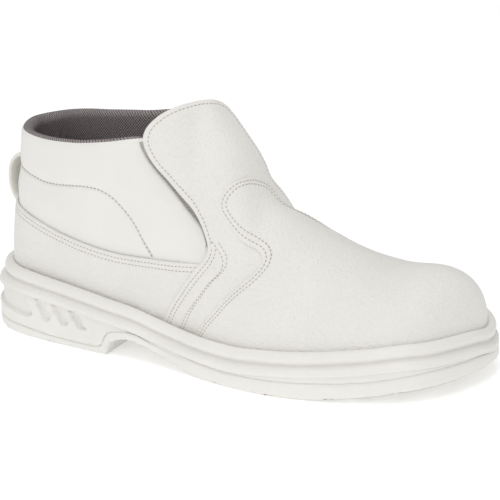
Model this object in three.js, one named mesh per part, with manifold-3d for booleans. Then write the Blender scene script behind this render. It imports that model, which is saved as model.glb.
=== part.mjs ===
import * as THREE from 'three';
import { mergeVertices } from 'three/addons/utils/BufferGeometryUtils.js';
import Module from 'manifold-3d';

// Slip-on safety boot, right foot. Millimetres, +X to the toe, +Y to the inner
// side of the foot, +Z up. The origin is under the middle of the sole.

const wasm = await Module();
wasm.setup();

// Driving sizes
const LENGTH = 300;
const BALL = 111;
const STRETCH = LENGTH / 300;
const LIP_HEIGHT = 7.2;
const FEATHER_DEPTH = 12;
const OVERLAY = 1.5;
const GAP = 0.3;
const FLOOR_GAP = 0.6;
const WALL = 2.2;
const COLLAR_WALL = 7;
const COLLAR_PAD = 1.4;
const INSOLE = 4;
const FLAP_LIFT = 2.2;
const FLAP_LIFT_WIDTH = 24;
const TOE_TURN = 8;
const TOE_TURN_FROM = 20;
const LEG_TURN = THREE.MathUtils.degToRad(5.5);
const LEG_TURN_TO = 90;
const PANEL_TURN = THREE.MathUtils.degToRad(23);
const PANEL_PIVOT = -36;
const HEEL_LEAN = { out: 3.4, fromZ: 20, toZ: 40, along: 0.15 };
const INNER_TOE_DROP = { down: 3, along: 0.9, over: 25 };
const PAD_SIDES = [4.0, 4.8];
const PAD_RISE = [6, 20];
const PAD_WALL = [80, 105];
const LIFT_RISE = [66, 84];
const INNER_LIFT_RISE = [92, 108];
const LOOP = { width: 18, band: 1.8, middle: 84, half: 16, stand: 5.3 };
const SLOTS = { count: 3, first: -111, pitch: 12.3, width: 6.2, low: 12.5, under: 6.5, lean: 6.5 };
const NOTCH = 1.2;
const LUG_BORDER = 7;
const SLOT_DEPTH = 1.5;
const LUG_DEPTH = 3;
const LUG_GAP = 3.2;
const LUG_PITCH = 17;
const LUG_RUNS = [[-136, -70], [15, 136]];
const BELOW_GROUND = -20;
const FAR_AHEAD = LENGTH;

// Sole outline, one row for each station from heel to toe: `along` is a share
// of LENGTH, `outer` and `inner` are shares of BALL from the middle line.
const OUTLINE = [
  { along: 0.000, outer: 0.000, inner: 0.000 },
  { along: 0.045, outer: 0.225, inner: 0.234 },
  { along: 0.145, outer: 0.315, inner: 0.333 },
  { along: 0.265, outer: 0.356, inner: 0.338 },
  { along: 0.385, outer: 0.387, inner: 0.320 },
  { along: 0.505, outer: 0.455, inner: 0.342 },
  { along: 0.625, outer: 0.514, inner: 0.410 },
  { along: 0.745, outer: 0.500, inner: 0.473 },
  { along: 0.860, outer: 0.410, inner: 0.468 },
  { along: 0.955, outer: 0.234, inner: 0.365 },
  { along: 1.000, outer: -0.126, inner: 0.126 },
];

// Heights on the side of the sole: `ground` is its underside, `seam` the top of
// the tread layer and `groove` the line between side wall and rolled lip.
const SOLE = [
  { along: -0.01, ground: 0.0, seam: 7.0, groove: 30.6 },
  { along: 0.100, ground: 0.0, seam: 6.0, groove: 30.6 },
  { along: 0.170, ground: 0.0, seam: 4.3, groove: 29.4 },
  { along: 0.270, ground: 0.0, seam: 4.0, groove: 26.0 },
  { along: 0.285, ground: 0.0, seam: 5.2, groove: 25.3 },
  { along: 0.295, ground: 0.2, seam: 11.0, groove: 24.9 },
  { along: 0.303, ground: 6.5, seam: 13.2, groove: 24.6 },
  { along: 0.315, ground: 9.2, seam: 14.8, groove: 24.1 },
  { along: 0.345, ground: 11.2, seam: 15.8, groove: 23.0 },
  { along: 0.420, ground: 6.5, seam: 13.5, groove: 18.8 },
  { along: 0.500, ground: 0.8, seam: 9.6, groove: 15.9 },
  { along: 0.530, ground: 0.0, seam: 8.8, groove: 15.5 },
  { along: 0.570, ground: 0.0, seam: 8.4, groove: 15.4 },
  { along: 0.650, ground: 0.0, seam: 8.8, groove: 17.0 },
  { along: 0.730, ground: 0.3, seam: 9.8, groove: 19.0 },
  { along: 0.850, ground: 3.8, seam: 12.4, groove: 22.7 },
  { along: 0.920, ground: 6.8, seam: 15.8, groove: 25.2 },
  { along: 0.970, ground: 8.2, seam: 17.2, groove: 25.0 },
  { along: 1.010, ground: 8.6, seam: 16.8, groove: 22.8 },
];

// Side of the sole from the bottom up: `out` is measured from the outline and
// `up` from the ground (below the seam), or from the groove.
const SIDE = [
  { from: 'ground', up: -14, out: -1.6 },
  { from: 'ground', up: 0, out: -1.6 },
  { from: 'ground', up: 1.6, out: 0 },
  { from: 'groove', up: -6.5, out: -0.6 },
  { from: 'groove', up: -5.0, out: 0.4 },
  { from: 'groove', up: -2.8, out: 0.2 },
  { from: 'groove', up: -0.4, out: -2.6 },
  { from: 'groove', up: 0.5, out: -2.9 },
  { from: 'groove', up: 2.2, out: -1.3 },
  { from: 'groove', up: 4.4, out: -1.0 },
  { from: 'groove', up: 6.4, out: -2.0 },
  { from: 'groove', up: LIP_HEIGHT, out: -4.2 },
];

// Upper part of the last, one row for each place on the way round from the
// heel (0) to the toe (10), the same for both sides. `x`, `side` and `z` are
// the top line: a leg opening behind, the ridge of the instep in front. Each
// `x`, here and in the edges below, is for LENGTH 300 and is stretched with it.
// `inset` is the foot of the wall inside the sole outline, `bulge` and `rise`
// shape the wall above it, `reach`, `drop` and `slope` its way to the top.
const LAST = [
  { at: 0.0, x: -125, side: 0, z: 150, inset: 9.0, bulge: 1.5, rise: 40, reach: 0, out: 0, drop: 42, slope: 0 },
  { at: 1.0, x: -118, side: 19, z: 150, inset: 8.5, bulge: 1.5, rise: 40, reach: 0, out: 0, drop: 42, slope: 0 },
  { at: 2.0, x: -100, side: 31, z: 150, inset: 7.5, bulge: 1, rise: 38, reach: 0, out: 0, drop: 40, slope: 0 },
  { at: 3.0, x: -74, side: 35, z: 151, inset: 7.0, bulge: 0, rise: 34, reach: 0, out: 1, drop: 40, slope: 0 },
  { at: 3.6, x: -54, side: 35, z: 152, inset: 7.0, bulge: -1, rise: 32, reach: 0, out: 2, drop: 38, slope: 0 },
  { at: 4.1, x: -37, side: 32, z: 153, inset: 6.8, bulge: -1, rise: 30, reach: 0.15, out: 4, drop: 34, slope: -0.1 },
  { at: 4.5, x: -24, side: 24, z: 155, inset: 6.6, bulge: 0, rise: 30, reach: 0.40, out: 5, drop: 26, slope: -0.4 },
  { at: 4.8, x: -14, side: 12, z: 156, inset: 6.5, bulge: 0, rise: 30, reach: 0.60, out: 3, drop: 13, slope: -0.9 },
  { at: 5.0, x: -8, side: 0, z: 152, inset: 6.5, bulge: 0, rise: 30, reach: 0.65, out: 0, drop: 6, slope: -1.15 },
  { at: 5.375, x: 5.5, side: 0, z: 135, inset: 6.5, bulge: 0, rise: 30, reach: 0.62, out: 0, drop: 3, slope: -1.25 },
  { at: 5.7, x: 18.5, side: 0, z: 116, inset: 6.5, bulge: 1, rise: 28, reach: 0.60, out: 0, drop: 2, slope: -1.60 },
  { at: 6.0, x: 29, side: 0, z: 95.5, inset: 6.5, bulge: 2, rise: 26, reach: 0.58, out: 0, drop: 2, slope: -1.3 },
  { at: 6.3, x: 39.5, side: 0, z: 87.5, inset: 6.5, bulge: 2, rise: 25, reach: 0.56, out: 0, drop: 2, slope: -0.65 },
  { at: 7.0, x: 67, side: 0, z: 70.5, inset: 6.5, bulge: 4, rise: 22, reach: 0.55, out: 0, drop: 2, slope: -0.42 },
  { at: 8.0, x: 96, side: 0, z: 60.3, inset: 6.5, bulge: 4, rise: 22, reach: 0.60, out: 0, drop: 0, slope: -0.05 },
  { at: 9.0, x: 114, side: 0, z: 61.6, inset: 6.5, bulge: 4, rise: 24, reach: 0.68, out: 0, drop: 0, slope: -0.02 },
  { at: 10.0, x: 122, side: 0, z: 60.9, inset: 6.5, bulge: 4, rise: 24, reach: 0.75, out: 0, drop: 0, slope: -0.05 },
];

// How much fuller the inner side of the instep is than the outer one
const INNER_FULLER = [
  { at: 5.0, out: 2.7, reach: 0.19 },
  { at: 5.375, out: 2.5, reach: 0.21 },
  { at: 6.3, out: 0, reach: 0.2 },
];

// Height of the collar rim on the way round from the heel to the instep
const COLLAR = [
  { at: 0.0, z: 116.5 },
  { at: 1.0, z: 116.0 },
  { at: 2.0, z: 116.0 },
  { at: 3.0, z: 118.0 },
  { at: 3.6, z: 121.5 },
  { at: 4.1, z: 125.5 },
  { at: 4.6, z: 130.0 },
  { at: 5.0, z: 133.5 },
  { at: 5.375, z: 135.0 },
];
const COLLAR_FRONT = COLLAR[COLLAR.length - 1].at;

const stretched = (edge) => edge.map(([x, z]) => [x * STRETCH, z]);

// Seen from the side: the free edge of the flap, the edge of its wing, its
// top, the edge of the vamp and the top of the counter
const FREE_EDGE = stretched([
  [-27, 128], [-25, 121.6], [-21, 114.6], [-15, 107.2], [-3, 91], [3, 82.5], [6.4, 75],
]);
const WING_EDGE = stretched([
  [6.8, 72], [6.4, 69.3], [4.8, 65.9], [-1.8, 57], [-10.5, 44.4], [-17, 34.9], [-21.7, 26.2], [-30.5, 6],
]);
const FLAP_TOP = stretched([[40, 166], [-5, 150.8], [-10, 149.8], [-16, 147.2], [-22, 142], [-26.5, 134]]);
const FLAP_EDGE = [...FLAP_TOP, ...FREE_EDGE, ...WING_EDGE];
const VAMP_EDGE = stretched([
  [40, 112], [14, 108.5], [11.3, 107], [9.6, 103], [8.6, 98], [9.6, 93.5], [12.2, 89.5], [19.4, 81.5],
  [25.4, 76], [31, 72], [33.4, 68.9], [34, 66], [31.8, 60.4], [26.8, 54], [20.4, 47], [12.8, 37.8],
  [6.6, 30.6], [2.6, 24.4], [-8, 6],
]);
const COUNTER_EDGE = stretched([
  [-160, 76], [-136, 74.5], [-115, 70], [-97, 65.3], [-74, 61], [-55, 59], [-30, 60], [5, 62.5],
]);

// Seen from the front: the free edge of the flap on the inner side, from the
// top down
const INNER_EDGE = [
  [-22, 153.5], [-14, 150.4], [-10.2, 148], [-7.2, 146.2], [-3.2, 143.2], [0.4, 139.1], [2.4, 133.5],
  [3, 127.8], [3.9, 122.4], [5.5, 116.7], [6.8, 110.2], [7.4, 104.3], [10, 98], [15, 92], [22, 87],
  [31, 82], [42, 78], [80, 75],
];

// Seen from the side: the recess round the back of the heel
const RECESS = stretched([[-155, 25], [-119.5, 25], [-112.5, 14.5], [-113.5, 12], [-155, 18]]);

const ROUND = 2 * (OUTLINE.length - 1);

// A smooth closed curve through rows of numbers, one row a step
function closedSpline(rows) {
  let control = rows.map((row) => row.slice());
  for (let pass = 0; pass < 60; pass++) {
    control = control.map((row, i) => {
      const before = control[(i + rows.length - 1) % rows.length];
      const after = control[(i + 1) % rows.length];
      return row.map((value, k) => (6 * rows[i][k] - before[k] - after[k]) / 4);
    });
  }
  return (t) => {
    const i = Math.floor(t);
    const f = t - i;
    const weight = [(1 - f) ** 3, 3 * f ** 3 - 6 * f ** 2 + 4, -3 * f ** 3 + 3 * f ** 2 + 3 * f + 1, f ** 3];
    return rows[0].map((_, k) => weight.reduce((sum, w, j) => {
      const row = control[(((i + j - 1) % rows.length) + rows.length) % rows.length];
      return sum + w * row[k] / 6;
    }, 0));
  };
}

// A curve through rows that never overshoots them: keys must rise
function steadyCurve(keys, values) {
  const secant = keys.slice(1).map((key, i) => (values[i + 1] - values[i]) / (key - keys[i]));
  const slope = keys.map((_, i) => {
    const a = secant[i - 1] ?? secant[i];
    const b = secant[i] ?? secant[i - 1];
    return a * b <= 0 ? 0 : (2 * a * b) / (a + b);
  });
  return (key) => {
    const last = keys.length - 2;
    const found = keys.findIndex((k) => k > key) - 1;
    const i = key <= keys[0] ? 0 : found < 0 ? last : found;
    const width = keys[i + 1] - keys[i];
    const f = THREE.MathUtils.clamp((key - keys[i]) / width, 0, 1);
    const near = values[i] * (1 + 2 * f) * (1 - f) ** 2 + slope[i] * width * f * (1 - f) ** 2;
    return near + values[i + 1] * f * f * (3 - 2 * f) + slope[i + 1] * width * f * f * (f - 1);
  };
}

function columns(rows, key) {
  const keys = rows.map((row) => row[key]);
  const curves = {};
  for (const name of Object.keys(rows[0])) {
    if (name !== key) curves[name] = steadyCurve(keys, rows.map((row) => row[name]));
  }
  return curves;
}

const smooth = (from, to, value) => THREE.MathUtils.smoothstep(value, from, to);
const sole = columns(SOLE, 'along');
const collar = columns(COLLAR, 'at');

function outlineCurve() {
  const outer = OUTLINE.map((row) => [LENGTH * (row.along - 0.5), -BALL * row.outer]);
  const inner = OUTLINE.slice(1, -1).reverse().map((row) => [LENGTH * (row.along - 0.5), BALL * row.inner]);
  const raw = closedSpline([...outer, ...inner]);
  const samples = Array.from({ length: 400 }, (_, i) => raw(i * ROUND / 400));
  const low = [0, 1].map((k) => Math.min(...samples.map((p) => p[k])));
  const high = [0, 1].map((k) => Math.max(...samples.map((p) => p[k])));
  const size = [LENGTH, BALL];
  const curve = (t) => raw(t).map((value, k) => size[k] * ((value - low[k]) / (high[k] - low[k]) - 0.5));
  curve.middle = -size[1] * (low[1] / (high[1] - low[1]) + 0.5);
  return curve;
}

const outline = outlineCurve();

// Point of the sole outline, moved outwards by `out`
function outlinePoint(t, out = 0) {
  const [x, y] = outline(t);
  const [ax, ay] = outline(t - 0.01);
  const [bx, by] = outline(t + 0.01);
  const run = Math.hypot(bx - ax, by - ay);
  const normal = [(by - ay) / run, -(bx - ax) / run];
  return { x: x + out * normal[0], y: y + out * normal[1], normal, along: x / LENGTH + 0.5 };
}

// The last's table read all the way round
function lastCurve() {
  const half = LAST.map((row) => ({ ...row, x: row.x * STRETCH }));
  const other = (row) => {
    const more = INNER_FULLER.find(({ at }) => at === row.at) ?? { out: 0, reach: 0 };
    const moved = { side: -row.side, out: -row.out - more.out, reach: row.reach + more.reach };
    return { ...row, ...moved, at: ROUND - row.at };
  };
  const loop = [...half, ...half.slice(1, -1).reverse().map(other)];
  const before = loop.slice(-3).map((row) => ({ ...row, at: row.at - ROUND }));
  const after = loop.slice(0, 4).map((row) => ({ ...row, at: row.at + ROUND }));
  return columns([...before, ...loop, ...after], 'at');
}

const last = lastCurve();

// Place of the top line on plan: the toe turns inwards, the leg outwards
function topOnPlan(x, side) {
  const turn = LEG_TURN * (1 - smooth(0, LEG_TURN_TO, x));
  const y = TOE_TURN * smooth(TOE_TURN_FROM, LENGTH / 2 - TOE_TURN_FROM, x) - side;
  const pivot = last.x(0);
  const run = x - pivot;
  return {
    x: pivot + run * Math.cos(turn) + y * Math.sin(turn),
    y: outline.middle - run * Math.sin(turn) + y * Math.cos(turn),
  };
}

// Height of the foot of the wall, down inside the lip
const feather = (along) => sole.groove(along) + LIP_HEIGHT - FEATHER_DEPTH;

// Point on the outside of the boot: t runs round the foot, v up the wall
function lastPoint(t, v) {
  const at = ((t % ROUND) + ROUND) % ROUND;
  const foot = outlinePoint(at, -last.inset(at));
  const footZ = feather(foot.along);
  const top = { ...topOnPlan(last.x(at), last.side(at)), z: last.z(at) };
  const dx = last.reach(at) * (foot.x - top.x);
  const dy = last.reach(at) * (foot.y - top.y) - last.out(at);
  const bulge = last.bulge(at);
  const points = [
    [foot.x, foot.y, footZ],
    [foot.x + bulge * foot.normal[0], foot.y + bulge * foot.normal[1], footZ + last.rise(at)],
    [top.x + dx, top.y + dy, top.z + last.slope(at) * dx - last.drop(at)],
    [top.x, top.y, top.z],
  ];
  const w = [(1 - v) ** 3, 3 * v * (1 - v) ** 2, 3 * v * v * (1 - v), v ** 3];
  const sum = (k) => points.reduce((total, p, i) => total + w[i] * p[k], 0);
  return new THREE.Vector3(sum(0), sum(1), sum(2));
}

const onRidge = (t, v) => v === 1 && t >= 5 && t <= ROUND - 5;

// Way out of the surface, read a little under the top line, where the two
// sides meet
function lastNormal(t, v) {
  const step = 0.004;
  const highest = 0.96;
  const near = THREE.MathUtils.clamp(v, step, highest);
  const around = lastPoint(t + step, near).sub(lastPoint(t - step, near));
  const up = lastPoint(t, near + step).sub(lastPoint(t, near - step));
  return around.cross(up).normalize();
}

// The same point moved along the surface normal by `out`
function surfacePoint(t, v, out) {
  const normal = lastNormal(t, v);
  if (onRidge(t, v)) normal.add(lastNormal(ROUND - t, v)).normalize();
  return lastPoint(t, v).addScaledVector(normal, out);
}

// Places round the foot, closer together where the leg turns into the instep
function placesRound() {
  const half = [];
  const spread = (from, to, count) => {
    for (let k = 0; k < count; k++) half.push(from + (to - from) * k / count);
  };
  spread(0, 3.9, 10);
  spread(3.9, COLLAR_FRONT, 7);
  spread(COLLAR_FRONT, ROUND / 2, 12);
  return [...half, ROUND / 2, ...half.slice(1).reverse().map((t) => ROUND - t)];
}

// Height v on the wall where the outside reaches z
function wallAt(t, z) {
  let [low, high] = [0, 1];
  for (let pass = 0; pass < 30; pass++) {
    const middle = (low + high) / 2;
    if (lastPoint(t, middle).z < z) low = middle;
    else high = middle;
  }
  return (low + high) / 2;
}

const PLACES = placesRound();
const COUNT = PLACES.length;
const ROWS = 10;
const CROWN_ROWS = 2;
const RIM_ROWS = 3;

// Steps up the wall at one place: ROWS of them to the collar's rim or to the
// ridge, then the crown that only the cutting forms have
function stepsUp(t) {
  const near = Math.min(t, ROUND - t);
  const top = near < COLLAR_FRONT ? wallAt(t, collar.z(near)) : 1;
  const wall = Array.from({ length: ROWS + 1 }, (_, j) => top * j / ROWS);
  const crown = Array.from({ length: CROWN_ROWS }, (_, k) => top + (1 - top) * (k + 1) / CROWN_ROWS);
  return [...wall, ...crown];
}

const STEPS = PLACES.map(stepsUp);

// Closed solid from a grid of points: rows[i][j] is place i, step j. The first
// and last steps are shut by strips across the foot.
function shutForm(rows) {
  const points = rows.flat();
  const steps = rows[0].length;
  const index = (i, j) => ((i + COUNT) % COUNT) * steps + j;
  const faces = [];
  for (let i = 0; i < COUNT; i++) {
    for (let j = 0; j < steps - 1; j++) {
      const [a, b, c, d] = [index(i, j), index(i + 1, j), index(i + 1, j + 1), index(i, j + 1)];
      faces.push(a, b, c, a, c, d);
    }
  }
  for (let i = 0; i < COUNT / 2; i++) {
    const [a, b, c, d] = [index(i, 0), index(i + 1, 0), index(-i, 0), index(-i - 1, 0)];
    faces.push(a, c, b, b, c, d);
    const [e, f, g, h] = [a, b, c, d].map((k) => k + steps - 1);
    faces.push(e, f, g, f, h, g);
  }
  return solid(points, faces);
}

function solid(points, faces) {
  const geometry = new THREE.BufferGeometry();
  const flat = points.flatMap((p) => [p.x, p.y, p.z]);
  geometry.setAttribute('position', new THREE.BufferAttribute(new Float32Array(flat), 3));
  geometry.setIndex(faces);
  return manifold(geometry);
}

function manifold(geometry) {
  geometry.deleteAttribute('normal');
  geometry.deleteAttribute('uv');
  const merged = mergeVertices(geometry);
  const index = [];
  const source = merged.index.array;
  for (let k = 0; k < source.length; k += 3) {
    const [a, b, c] = source.slice(k, k + 3);
    if (a !== b && b !== c && a !== c) index.push(a, b, c);
  }
  return new wasm.Manifold(new wasm.Mesh({
    numProp: 3,
    vertProperties: merged.attributes.position.array,
    triVerts: new Uint32Array(index),
  }));
}

// Block across the foot with the given outline seen from the side
function across(outlineXZ, { turn = 0, width = 3 * BALL, middle = 0 } = {}) {
  const shape = new THREE.Shape(outlineXZ.map(([x, z]) => new THREE.Vector2(x, z)));
  const geometry = new THREE.ExtrudeGeometry(shape, { depth: width, bevelEnabled: false });
  geometry.rotateX(Math.PI / 2);
  geometry.translate(0, middle + width / 2 - PANEL_PIVOT, 0);
  geometry.rotateZ(-turn);
  geometry.translate(0, PANEL_PIVOT, 0);
  return manifold(geometry);
}

// Block along the foot with the given outline seen from the front
function lengthwise(outlineYZ) {
  const shape = new THREE.Shape(outlineYZ.map(([y, z]) => new THREE.Vector2(y, z)));
  const geometry = new THREE.ExtrudeGeometry(shape, { depth: 2 * LENGTH, bevelEnabled: false });
  const [toX, toY, toZ] = [[1, 0, 0], [0, 1, 0], [0, 0, 1]].map((axis) => new THREE.Vector3(...axis));
  geometry.translate(0, 0, -LENGTH);
  geometry.applyMatrix4(new THREE.Matrix4().makeBasis(toY, toZ, toX));
  return manifold(geometry);
}

// Place along the foot as the turned blocks see it
const turnedX = (p) => p.x * Math.cos(PANEL_TURN) - (p.y - PANEL_PIVOT) * Math.sin(PANEL_TURN);

// The last as a closed solid, moved outwards by `out`, a number or a function
function lastForm(out) {
  const amount = typeof out === 'number' ? () => out : out;
  return shutForm(PLACES.map((t, i) => STEPS[i].map((v) => surfacePoint(t, v, amount(t, v)))));
}

// The sole as a closed solid, moved outwards by `out`
function soleForm(out) {
  return shutForm(PLACES.map((t) => SIDE.map((step) => {
    const { along } = outlinePoint(t);
    const z = sole[step.from](along) + step.up;
    const lean = HEEL_LEAN.out * smooth(HEEL_LEAN.fromZ, HEEL_LEAN.toZ, z);
    const p = outlinePoint(t, step.out + out - lean * (1 - smooth(0, HEEL_LEAN.along, along)));
    const drop = INNER_TOE_DROP.down * smooth(INNER_TOE_DROP.along, 1, along) * smooth(0, INNER_TOE_DROP.over, p.y);
    return new THREE.Vector3(p.x, p.y, step.from === 'groove' ? z - drop : z);
  })));
}

// Points of the upper's section at one place: up the outside, over the rim
// and down the inside
function upperSection(t, i) {
  const back = 1 - smooth(...PAD_SIDES, Math.min(t, ROUND - t));
  const outside = [];
  const inside = [];
  for (const v of STEPS[i].slice(0, ROWS + 1)) {
    const p = lastPoint(t, v);
    const swell = smooth(...PAD_RISE, p.z - counterTop.z(p.x)) * (1 - smooth(-5, 1, pastEdge(p)));
    const level = COLLAR_PAD * back * swell - OVERLAY - GAP;
    const wall = WALL + (COLLAR_WALL - WALL) * back * smooth(...PAD_WALL, p.z);
    outside.push(surfacePoint(t, v, level));
    inside.unshift(surfacePoint(t, v, level - wall));
  }
  return [...outside, ...rimArc(outside[ROWS], inside[0]), ...inside];
}

// Half a turn over the rim from the outside to the inside
function rimArc(from, to) {
  const lift = from.distanceTo(to) / 2;
  return Array.from({ length: RIM_ROWS }, (_, k) => {
    const turn = Math.PI * (k + 1) / (RIM_ROWS + 1);
    const p = from.clone().lerp(to, (1 - Math.cos(turn)) / 2);
    return p.setZ(p.z + lift * Math.sin(turn));
  });
}

// Hollow upper: in front of the collar the two sides share the ridge's points,
// and no rim is made there
function makeUpper() {
  const rows = PLACES.map(upperSection);
  const steps = rows[0].length;
  const [rimFrom, rimTo] = [ROWS, ROWS + RIM_ROWS + 1];
  const corner = ROUND - COLLAR_FRONT;
  const index = (i, step) => {
    const k = (i + COUNT) % COUNT;
    const j = step % steps;
    const farSide = PLACES[k] > ROUND / 2 && PLACES[k] <= corner;
    const shared = j === rimFrom || j === rimTo || (j > rimFrom && j < rimTo && PLACES[k] === corner);
    return (farSide && shared ? COUNT - k : k) * steps + j;
  };
  const faces = [];
  for (let i = 0; i < COUNT; i++) {
    const front = PLACES[i] >= COLLAR_FRONT && PLACES[i] < corner;
    for (let j = 0; j < steps; j++) {
      if (front && j >= rimFrom && j < rimTo) continue;
      const [a, b, c, d] = [index(i, j), index(i + 1, j), index(i + 1, j + 1), index(i, j + 1)];
      faces.push(a, b, c, a, c, d);
    }
  }
  return solid(rows.flat(), faces);
}

// Regions ahead of an edge and below an edge, seen from the side
const ahead = (edge) => {
  const ends = [edge[0], edge[edge.length - 1]].map(([, z]) => [FAR_AHEAD, z]);
  return across([ends[0], ...edge, ends[1]], { turn: PANEL_TURN });
};
const below = (edge) => {
  const ends = [edge[0], edge[edge.length - 1]].map(([x]) => [x, BELOW_GROUND]);
  return across([ends[0], ...edge, ends[1]]);
};
const shifted = (edge, dx) => edge.map(([x, z]) => [x + dx, z]);

const outerEdge = columns([...FREE_EDGE, ...WING_EDGE].map(([x, z]) => ({ x, z })).reverse(), 'z');
const innerEdge = columns(INNER_EDGE.map(([y, z]) => ({ y, z })).reverse(), 'z');

// How far a place lies inside the flap's outer and inner edges
const pastEdge = (p) => turnedX(p) - outerEdge.x(p.z);
const pastInnerEdge = (p) => innerEdge.y(p.z) - p.y;

const counterTop = columns(COUNTER_EDGE.map(([x, z]) => ({ x, z })), 'x');

// The flap stands off along its free edges, down to where they are sewn
const flapLift = (t, v) => {
  const p = lastPoint(t, v);
  const outer = (1 - smooth(0, FLAP_LIFT_WIDTH, pastEdge(p))) * smooth(...LIFT_RISE, p.z);
  const inner = (1 - smooth(0, FLAP_LIFT_WIDTH, pastInnerEdge(p))) * smooth(...INNER_LIFT_RISE, p.z);
  return FLAP_LIFT * Math.max(outer, inner);
};

// Skin of one overlay's thickness, with no floor under the foot
function shell(lift = () => 0) {
  const inner = lastForm((t, v) => lift(t, v) - OVERLAY);
  return lastForm(lift).subtract(inner).subtract(inner.translate(0, 0, -FLOOR_GAP));
}

function makeFlap() {
  const [top, bottom] = [INNER_EDGE[0][1], INNER_EDGE[INNER_EDGE.length - 1][1]];
  const side = [[-FAR_AHEAD, BELOW_GROUND], [-FAR_AHEAD, top], ...INNER_EDGE];
  const outerSide = lengthwise([...side, [FAR_AHEAD, bottom], [FAR_AHEAD, BELOW_GROUND]]);
  return shell(flapLift).intersect(ahead(FLAP_EDGE)).intersect(outerSide).subtract(ahead(VAMP_EDGE));
}

const makeVamp = () => shell().intersect(ahead(shifted(VAMP_EDGE, GAP)));

function makeCounter() {
  return shell().intersect(below(COUNTER_EDGE)).subtract(ahead(shifted(FLAP_EDGE, -GAP)));
}

function makeInsole() {
  const top = SOLE.map(({ along }) => [LENGTH * (along - 0.5), feather(along) + INSOLE]);
  return lastForm(-OVERLAY - GAP - WALL - GAP).intersect(below(top));
}

// Heights of the sole table as points seen from the side
const sideCurve = (name) => SOLE.map(({ along }) => [LENGTH * (along - 0.5), sole[name](along)]);

// Slanted slots and the panel round the back, sunk into the heel's side
function heelMarks() {
  const marks = [];
  for (let k = 0; k < SLOTS.count; k++) {
    const x = SLOTS.first * STRETCH + k * SLOTS.pitch;
    const top = sole.groove(x / LENGTH + 0.5) - SLOTS.under;
    const foot = x + SLOTS.lean;
    marks.push(across([[x, top], [foot, SLOTS.low], [foot + SLOTS.width, SLOTS.low], [x + SLOTS.width, top]]));
  }
  return [...marks, across(RECESS)];
}

// Channels across the tread between the main lugs: deep inside a border, and
// as a shallow notch out to the edge at every second one
function channels() {
  const cuts = [];
  const inside = soleForm(-LUG_BORDER);
  const places = [];
  for (const [from, to] of LUG_RUNS) {
    for (let x = from * STRETCH; x < to * STRETCH; x += LUG_PITCH) places.push(x);
  }
  places.forEach((x, k) => {
    const z = sole.ground(x / LENGTH + 0.5);
    const box = (top) => below([[x, z + top], [x + LUG_GAP, z + top]]);
    cuts.push(box(LUG_DEPTH).intersect(inside));
    if (k % 2 === 0) cuts.push(box(NOTCH));
  });
  return cuts;
}

function makeSole() {
  const form = soleForm(0);
  const seam = below(sideCurve('seam'));
  const hollow = lastForm(GAP).translate(0, 0, -FLOOR_GAP);
  const core = soleForm(-SLOT_DEPTH);
  let tread = form.intersect(seam).subtract(below(sideCurve('ground')));
  for (const cut of channels()) tread = tread.subtract(cut);
  let body = form.subtract(seam).subtract(hollow);
  for (const mark of heelMarks()) body = body.subtract(mark.subtract(core));
  return { tread, body };
}

const LOOP_STEPS = 12;

// Pull loop: a band standing off the back of the heel, sewn down at both ends
function makeLoop() {
  const ends = last.x(0);
  const heel = lastPoint(0, wallAt(0, LOOP.middle)).x;
  const side = (inset) => {
    const points = Array.from({ length: LOOP_STEPS + 1 }, (_, k) => {
      const turn = Math.PI * (0.5 - k / LOOP_STEPS);
      const depth = (ends - heel + LOOP.stand - inset) * Math.cos(turn);
      return [ends - depth, LOOP.middle + (LOOP.half - inset) * Math.sin(turn)];
    });
    return across(points, { width: LOOP.width, middle: outline.middle });
  };
  return side(0).subtract(side(LOOP.band)).subtract(lastForm(GAP));
}

const root = new THREE.Group();

function add(name, made, color, roughness) {
  const mesh = made.getMesh();
  const geometry = new THREE.BufferGeometry();
  geometry.setAttribute('position', new THREE.BufferAttribute(new Float32Array(mesh.vertProperties), 3));
  geometry.setIndex([...mesh.triVerts]);
  const object = new THREE.Mesh(geometry, new THREE.MeshStandardMaterial({ color, roughness }));
  object.name = name;
  root.add(object);
}

const { tread, body } = makeSole();
add('outsole', tread, 0xe6e2d6, 0.6);
add('midsole', body, 0xe6e2d6, 0.6);
add('upper', makeUpper(), 0xe4e1da, 0.6);
add('vamp', makeVamp(), 0xe4e1da, 0.6);
add('instep_flap', makeFlap(), 0xe4e1da, 0.6);
add('heel_counter', makeCounter(), 0xe4e1da, 0.6);
add('insole', makeInsole(), 0x8c8a86, 0.9);
add('pull_loop', makeLoop(), 0xdedad2, 0.8);

export default root;
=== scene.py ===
import math

import bpy
import numpy as np
from mathutils import Matrix, Vector


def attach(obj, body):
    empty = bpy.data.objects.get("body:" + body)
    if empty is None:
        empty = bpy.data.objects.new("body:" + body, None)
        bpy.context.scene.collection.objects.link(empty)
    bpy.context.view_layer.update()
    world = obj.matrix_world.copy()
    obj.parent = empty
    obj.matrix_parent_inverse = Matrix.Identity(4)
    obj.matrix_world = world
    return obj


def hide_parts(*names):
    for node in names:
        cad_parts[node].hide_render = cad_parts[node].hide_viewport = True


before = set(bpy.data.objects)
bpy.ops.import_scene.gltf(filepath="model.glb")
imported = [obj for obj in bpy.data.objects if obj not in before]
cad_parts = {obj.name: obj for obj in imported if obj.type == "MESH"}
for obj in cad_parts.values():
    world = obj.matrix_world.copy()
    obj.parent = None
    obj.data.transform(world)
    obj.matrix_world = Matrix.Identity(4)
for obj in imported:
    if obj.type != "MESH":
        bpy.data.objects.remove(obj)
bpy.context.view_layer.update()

# Driving sizes in millimetres, as in the solids
LENGTH = 300
BALL = 111
LIP_HEIGHT = 7.2
FEATHER_DEPTH = 12
OVERLAY = 1.5
GAP = 0.3
WALL = 2.2
COLLAR_WALL = 7
COLLAR_PAD = 1.4
PAD_SIDES = (4.0, 4.8)
PAD_WALL = (80, 105)
FLAP_LIFT = 2.2
FLAP_LIFT_WIDTH = 24
LIFT_RISE = (66, 84)
INNER_LIFT_RISE = (92, 108)
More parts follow.
